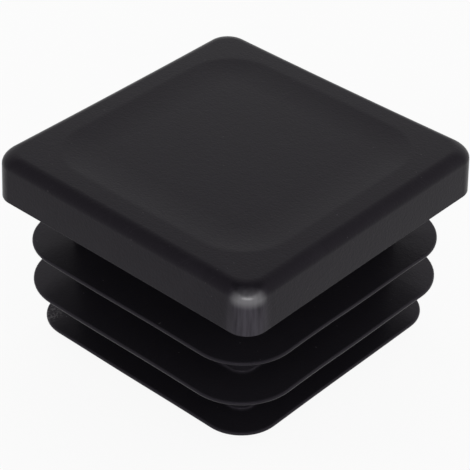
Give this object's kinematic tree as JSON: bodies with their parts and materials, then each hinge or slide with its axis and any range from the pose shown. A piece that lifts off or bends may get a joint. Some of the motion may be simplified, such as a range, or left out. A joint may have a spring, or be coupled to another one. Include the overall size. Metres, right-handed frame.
{
  "type": "tube end cap",
  "caption": "Square push-in end cap for a square tube: a flat head with soft edges on a hollow stem with thin flexible fins that grip the tube's bore.",
  "frame": {"origin": "centre of the stem's lower rim, which the cap stands on at rest", "axes": "+Z along the stem, up to the head; X and Y square to the head's sides"},
  "size_m": [0.03, 0.03, 0.0191],
  "materials": {
    "black_polyethylene": "moulded, satin, with fine scuffs"
  },
  "bodies": {
    "root": {"tube_end_cap": "black_polyethylene"}
  },
  "joints": []
}
